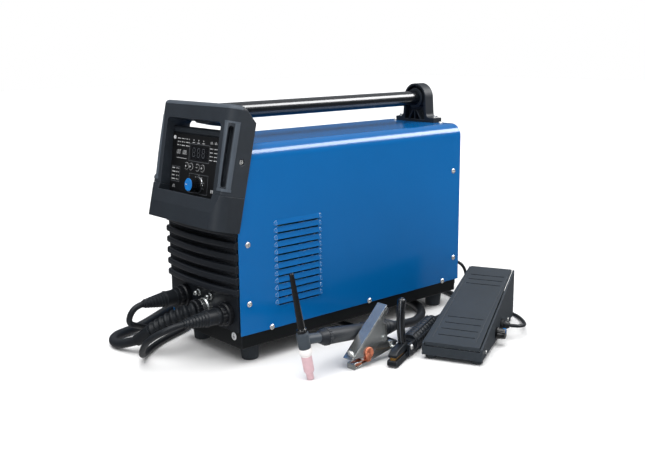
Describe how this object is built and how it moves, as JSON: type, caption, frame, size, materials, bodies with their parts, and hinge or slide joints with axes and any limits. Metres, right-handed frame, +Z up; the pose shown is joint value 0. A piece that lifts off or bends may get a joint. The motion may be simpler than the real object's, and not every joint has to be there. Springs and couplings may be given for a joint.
{
  "type": "tig welding machine",
  "caption": "Portable inverter TIG welding machine with guarded control panel, carrying tube, plugged torch, earth clamp, electrode holder and foot pedal.",
  "frame": {"origin": "on the floor, under the middle of the bounding box of the machine and its tools, cords left out", "axes": "+X to the machine's right side where the tools lie, +Y from the control panel to the rear, +Z up"},
  "size_m": [0.7206, 0.8469, 0.4258],
  "materials": {
    "tray_paint": "satin dark grey powder coat",
    "cover_paint": "smooth semi-gloss blue powder coat",
    "foot_rubber": "moulded",
    "screw_steel": "bright zinc",
    "front_moulding": "fine grain",
    "guard_moulding": "fine grain",
    "apron_moulding": "fine grain",
    "fascia_plastic": "smooth matte",
    "window_plastic": "clear over black",
    "knob_plastic": "fluted",
    "key_plastic": "smooth",
    "tube_paint": "gloss black powder coat",
    "plate_steel": "matte grey",
    "fan_plastic": "moulded",
    "switch_plastic": "moulded",
    "gland_nylon": "nylon",
    "board_laminate": "solder-masked laminate",
    "fin_aluminium": "extruded",
    "core_iron": "varnished",
    "capacitor_sleeve": "shrink sleeve",
    "valve_brass": "machined",
    "socket_plastic": "glass-filled",
    "plug_rubber": "moulded",
    "lead_rubber": "smooth sheath",
    "cup_ceramic": "unglazed",
    "torch_moulding": "satin",
    "cap_plastic": "gloss",
    "grip_rubber": "satin",
    "zinc_steel": "zinc plated",
    "contact_copper": "copper",
    "lever_plastic": "gloss",
    "holder_plastic": "glass-filled",
    "pedal_moulding": "fine grain"
  },
  "bodies": {
    "machine": {"base_tray": "tray_paint", "bus_capacitors": "capacitor_sleeve", "cable_glands": "gland_nylon", "cage_apron": "apron_moulding", "cage_frame": "guard_moulding", "case_screws": "screw_steel", "clamp_contacts": "contact_copper", "clamp_lower_jaw": "zinc_steel", "clamp_spring": "zinc_steel", "control_board": "board_laminate", "control_fascia": "fascia_plastic", "control_housing": "apron_moulding", "cover_shell": "cover_paint", "display_window": "window_plastic", "earth_lead": "lead_rubber", "earth_lead_coil": "lead_rubber", "fan_frame": "fan_plastic", "front_panel": "front_moulding", "gas_valve": "valve_brass", "handle_bracket": "apron_moulding", "handle_tube": "tube_paint", "heatsinks": "fin_aluminium", "holder_body": "holder_plastic", "holder_contact": "valve_brass", "holder_lead": "lead_rubber", "holder_lead_coil": "lead_rubber", "lead_plugs": "plug_rubber", "mains_cable": "lead_rubber", "mains_cable_coil": "lead_rubber", "mains_plug": "plug_rubber", "output_sockets": "socket_plastic", "pedal_base": "pedal_moulding", "pedal_cable": "lead_rubber", "pedal_cable_coil": "lead_rubber", "pedal_spring": "zinc_steel", "pivot_pins": "zinc_steel", "power_board": "board_laminate", "power_switch_body": "switch_plastic", "rear_panel": "plate_steel", "rubber_feet": "foot_rubber", "torch_back_cap": "cap_plastic", "torch_boot": "plug_rubber", "torch_cup": "cup_ceramic", "torch_handle": "grip_rubber", "torch_head": "torch_moulding", "torch_hose": "lead_rubber", "torch_hose_coil": "lead_rubber", "torch_socket": "zinc_steel", "transformer": "core_iron"},
    "encoder": {"encoder_knob": "knob_plastic"},
    "key_1": {"panel_key_1": "key_plastic"},
    "key_2": {"panel_key_2": "key_plastic"},
    "key_3": {"panel_key_3": "key_plastic"},
    "key_4": {"panel_key_4": "key_plastic"},
    "fan": {"fan_rotor": "fan_plastic"},
    "rocker": {"power_switch_rocker": "switch_plastic"},
    "clamp_jaw": {"clamp_upper_jaw": "zinc_steel"},
    "holder_lever_body": {"holder_lever": "lever_plastic"},
    "treadle": {"pedal_treadle": "pedal_moulding"},
    "dial": {"pedal_dial": "cap_plastic"}
  },
  "joints": [
    {"name": "encoder_turn", "type": "hinge", "parent": "machine", "child": "encoder", "pos_m": [-0.1174, -0.2271, 0.28513], "axis": [0, -0.99, 0.1409], "continuous": true},
    {"name": "key_1_press", "type": "slide", "parent": "machine", "child": "key_1", "axis": [0, 0.99, -0.1409], "range_m": [0, 0.0008], "stiffness_N_per_m": 1500, "springref_m": -0.0008},
    {"name": "key_2_press", "type": "slide", "parent": "machine", "child": "key_2", "axis": [0, 0.99, -0.1409], "range_m": [0, 0.0008], "stiffness_N_per_m": 1500, "springref_m": -0.0008},
    {"name": "key_3_press", "type": "slide", "parent": "machine", "child": "key_3", "axis": [0, 0.99, -0.1409], "range_m": [0, 0.0008], "stiffness_N_per_m": 1500, "springref_m": -0.0008},
    {"name": "key_4_press", "type": "slide", "parent": "machine", "child": "key_4", "axis": [0, 0.99, -0.1409], "range_m": [0, 0.0008], "stiffness_N_per_m": 1500, "springref_m": -0.0008},
    {"name": "fan_spin", "type": "hinge", "parent": "machine", "child": "fan", "pos_m": [-0.1354, 0.2864, 0.2], "axis": [0, 1, 0], "continuous": true},
    {"name": "power_switch_tilt", "type": "hinge", "parent": "machine", "child": "rocker", "pos_m": [-0.1874, 0.2989, 0.305], "axis": [0, 0, 1], "range_deg": [-12, 12]},
    {"name": "clamp_open", "type": "hinge", "parent": "machine", "child": "clamp_jaw", "pos_m": [0.0966, -0.0321, 0.039], "axis": [1, 0, 0], "range_deg": [-20, 0], "stiffness_Nm_per_rad": 3, "springref_deg": 20.05},
    {"name": "holder_squeeze", "type": "hinge", "parent": "machine", "child": "holder_lever_body", "pos_m": [0.11501, 0.00689, 0.019], "axis": [-0.9135, -0.4067, 0], "range_deg": [0, 25], "stiffness_Nm_per_rad": 2.5, "springref_deg": -20.05},
    {"name": "treadle_press", "type": "hinge", "parent": "machine", "child": "treadle", "pos_m": [0.17968, 0.05459, 0.0195], "axis": [0.9063, 0.4226, 0], "range_deg": [-9, 0], "stiffness_Nm_per_rad": 12, "springref_deg": 6.88, "deforming": ["pedal_spring"]},
    {"name": "dial_turn", "type": "hinge", "parent": "machine", "child": "dial", "pos_m": [0.18126, 0.16125, 0.022], "axis": [0.9063, 0.4226, 0], "range_deg": [-135, 135]}
  ]
}
